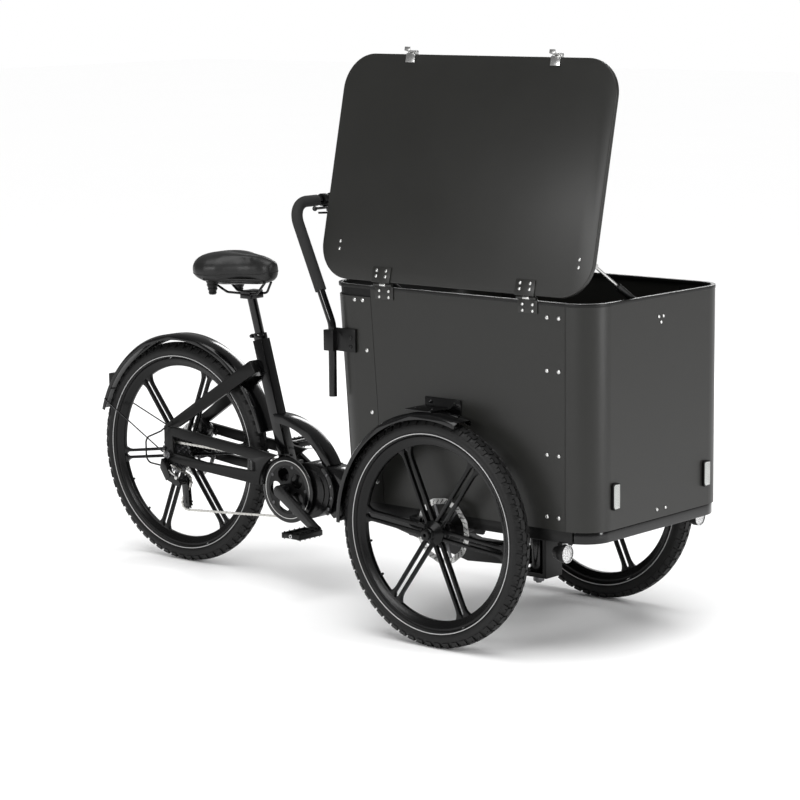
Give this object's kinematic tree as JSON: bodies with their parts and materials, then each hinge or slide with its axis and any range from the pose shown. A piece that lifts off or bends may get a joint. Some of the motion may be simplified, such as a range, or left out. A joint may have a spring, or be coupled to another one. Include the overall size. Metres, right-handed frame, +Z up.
{
  "type": "cargo bicycle",
  "caption": "Pedal-assist cargo tricycle: a lidded box between two steered front wheels, a mid-motor frame with saddle and one driven rear wheel behind.",
  "frame": {"origin": "on the ground, at the middle of the overall length and width", "axes": "+X forward, +Y to the rider's left, +Z up"},
  "size_m": [2.0622, 0.812, 1.5487],
  "materials": {
    "black_alloy": "satin",
    "black_panel": "satin",
    "bright_steel": "satin",
    "chain_steel": "satin",
    "foam_black": "matte",
    "gloss_black_paint": "gloss",
    "lamp_chrome": "gloss",
    "plastic_black": "satin",
    "reflector_white": "gloss",
    "satin_black_steel": "satin",
    "tail_red": "gloss",
    "trim_black": "satin",
    "tyre_black": "matte",
    "vinyl_black": "satin"
  },
  "bodies": {
    "frame": {"seat_tube": "gloss_black_paint", "arch_tube": "gloss_black_paint", "neck_beam": "gloss_black_paint", "motor": "black_alloy", "seat_stays": "gloss_black_paint", "chain_stays": "gloss_black_paint", "frame_bolts": "bright_steel", "chain": "chain_steel", "derailleur": "black_alloy", "gear_cable": "plastic_black", "rear_mudguard": "satin_black_steel", "tail_light": "tail_red", "rear_caliper": "black_alloy"},
    "front_carrier": {"cradle": "satin_black_steel", "king_pin": "satin_black_steel", "bumper_rail": "gloss_black_paint", "box_front": "black_panel", "box_rear": "black_panel", "box_sides": "black_panel", "box_floor": "black_panel", "box_strips": "plastic_black", "box_rim": "trim_black", "box_fittings": "bright_steel", "headlights": "lamp_chrome", "front_reflectors": "reflector_white", "front_mudguards": "satin_black_steel", "front_calipers": "black_alloy", "bar_clamps": "satin_black_steel"},
    "wheel_right": {"front_wheel_right": "black_alloy", "front_tyre_right": "tyre_black", "front_rotor_right": "bright_steel"},
    "wheel_left": {"front_wheel_left": "black_alloy", "front_tyre_left": "tyre_black", "front_rotor_left": "bright_steel"},
    "wheel_rear": {"rear_wheel": "black_alloy", "rear_tyre": "tyre_black", "rear_rotor": "bright_steel"},
    "sprockets": {"cassette": "chain_steel"},
    "cranks": {"crankset": "black_alloy", "chainring": "satin_black_steel"},
    "pedal_r": {"pedal_right": "plastic_black"},
    "pedal_l": {"pedal_left": "plastic_black"},
    "jockey_u": {"jockey_upper": "plastic_black"},
    "jockey_l": {"jockey_lower": "plastic_black"},
    "lid_unit": {"lid": "black_panel", "lid_fittings": "bright_steel"},
    "latch_r": {"latch_rear": "bright_steel"},
    "latch_f": {"latch_front": "bright_steel"},
    "gas_tubes": {"strut_tubes": "satin_black_steel"},
    "gas_rods": {"strut_rods": "bright_steel"},
    "saddle": {"seat_post": "gloss_black_paint", "saddle_base": "plastic_black", "saddle_cover": "vinyl_black"},
    "seat_clamp": {"seat_lever": "black_alloy"},
    "handlebar_unit": {"handlebar": "gloss_black_paint", "foam_grips": "foam_black", "bar_controls": "plastic_black"},
    "brake_r": {"brake_lever_right": "black_alloy"},
    "brake_l": {"brake_lever_left": "black_alloy"},
    "shifter": {"shift_lever": "plastic_black"}
  },
  "joints": [
    {"name": "steering", "type": "hinge", "parent": "frame", "child": "front_carrier", "pos_m": [0.625, 0, 0.195], "axis": [0, 0, 1], "range_deg": [-28, 28]},
    {"name": "wheel_right_spin", "type": "hinge", "parent": "front_carrier", "child": "wheel_right", "pos_m": [0.565, -0.3645, 0.303], "axis": [0, 1, 0], "continuous": true},
    {"name": "wheel_left_spin", "type": "hinge", "parent": "front_carrier", "child": "wheel_left", "pos_m": [0.565, 0.3645, 0.303], "axis": [0, 1, 0], "continuous": true},
    {"name": "wheel_rear_spin", "type": "hinge", "parent": "frame", "child": "wheel_rear", "pos_m": [-0.702, 0, 0.329], "axis": [0, 1, 0], "continuous": true},
    {"name": "crank_spin", "type": "hinge", "parent": "frame", "child": "cranks", "pos_m": [-0.235, 0, 0.276], "axis": [0, 1, 0], "continuous": true},
    {"name": "sprocket_spin", "type": "hinge", "parent": "frame", "child": "sprockets", "pos_m": [-0.702, -0.0524, 0.329], "axis": [0, 1, 0], "continuous": true},
    {"name": "pedal_right_spin", "type": "hinge", "parent": "cranks", "child": "pedal_r", "pos_m": [-0.09406, -0.15, 0.18094], "axis": [0, 1, 0], "continuous": true},
    {"name": "pedal_left_spin", "type": "hinge", "parent": "cranks", "child": "pedal_l", "pos_m": [-0.37594, 0.15, 0.37106], "axis": [0, 1, 0], "continuous": true},
    {"name": "jockey_upper_spin", "type": "hinge", "parent": "frame", "child": "jockey_u", "pos_m": [-0.653, -0.0524, 0.252], "axis": [0, 1, 0], "continuous": true},
    {"name": "jockey_lower_spin", "type": "hinge", "parent": "frame", "child": "jockey_l", "pos_m": [-0.647, -0.0524, 0.188], "axis": [0, 1, 0], "continuous": true},
    {"name": "lid_hinge", "type": "hinge", "parent": "front_carrier", "child": "lid_unit", "pos_m": [0.565, -0.306, 0.931], "axis": [1, 0, 0], "range_deg": [-77.3, 0], "stiffness_Nm_per_rad": 4, "springref_deg": 68.75},
    {"name": "latch_rear_swing", "type": "hinge", "parent": "lid_unit", "child": "latch_r", "pos_m": [0.346, -0.17421, 1.53398], "axis": [1, 0, 0], "range_deg": [-180, 0]},
    {"name": "latch_front_swing", "type": "hinge", "parent": "lid_unit", "child": "latch_f", "pos_m": [0.823, -0.17421, 1.53398], "axis": [1, 0, 0], "range_deg": [-180, 0]},
    {"name": "strut_swing", "type": "hinge", "parent": "front_carrier", "child": "gas_tubes", "pos_m": [0.565, 0.002, 0.858], "axis": [1, 0, 0], "range_deg": [0, 19.99]},
    {"name": "strut_stroke", "type": "slide", "parent": "gas_tubes", "child": "gas_rods", "axis": [0, -0.8516, 0.5242], "range_m": [-0.08662, 0]},
    {"name": "seat_height", "type": "slide", "parent": "frame", "child": "saddle", "axis": [-0.274, 0, 0.9617], "range_m": [-0.06, 0.11]},
    {"name": "seat_clamp_lever", "type": "hinge", "parent": "frame", "child": "seat_clamp", "pos_m": [-0.41335, 0, 0.70031], "axis": [0, 1, 0], "range_deg": [0, 140]},
    {"name": "bar_height", "type": "slide", "parent": "front_carrier", "child": "handlebar_unit", "axis": [0, 0, 1], "range_m": [0, 0.06]},
    {"name": "brake_right_pull", "type": "hinge", "parent": "handlebar_unit", "child": "brake_r", "pos_m": [0.058, -0.192, 1.115], "axis": [0, 0, 1], "range_deg": [-18, 0], "stiffness_Nm_per_rad": 0.8, "springref_deg": 8.59},
    {"name": "brake_left_pull", "type": "hinge", "parent": "handlebar_unit", "child": "brake_l", "pos_m": [0.058, 0.192, 1.115], "axis": [0, 0, 1], "range_deg": [0, 18], "stiffness_Nm_per_rad": 0.8, "springref_deg": -8.59},
    {"name": "shift_thumb", "type": "hinge", "parent": "handlebar_unit", "child": "shifter", "pos_m": [0.03, -0.14, 1.092], "axis": [0, 0, 1], "range_deg": [-30, 30]}
  ],
  "couplings": [
    {"joint": "sprocket_spin", "follows": "crank_spin", "ratio": 2.2222},
    {"joint": "jockey_lower_spin", "follows": "crank_spin", "ratio": 3.6364},
    {"joint": "jockey_upper_spin", "follows": "crank_spin", "ratio": -3.6364},
    {"joint": "strut_swing", "follows": "lid_hinge", "ratio": -0.25795},
    {"joint": "strut_stroke", "follows": "lid_hinge", "m_per_rad": 0.064057}
  ]
}
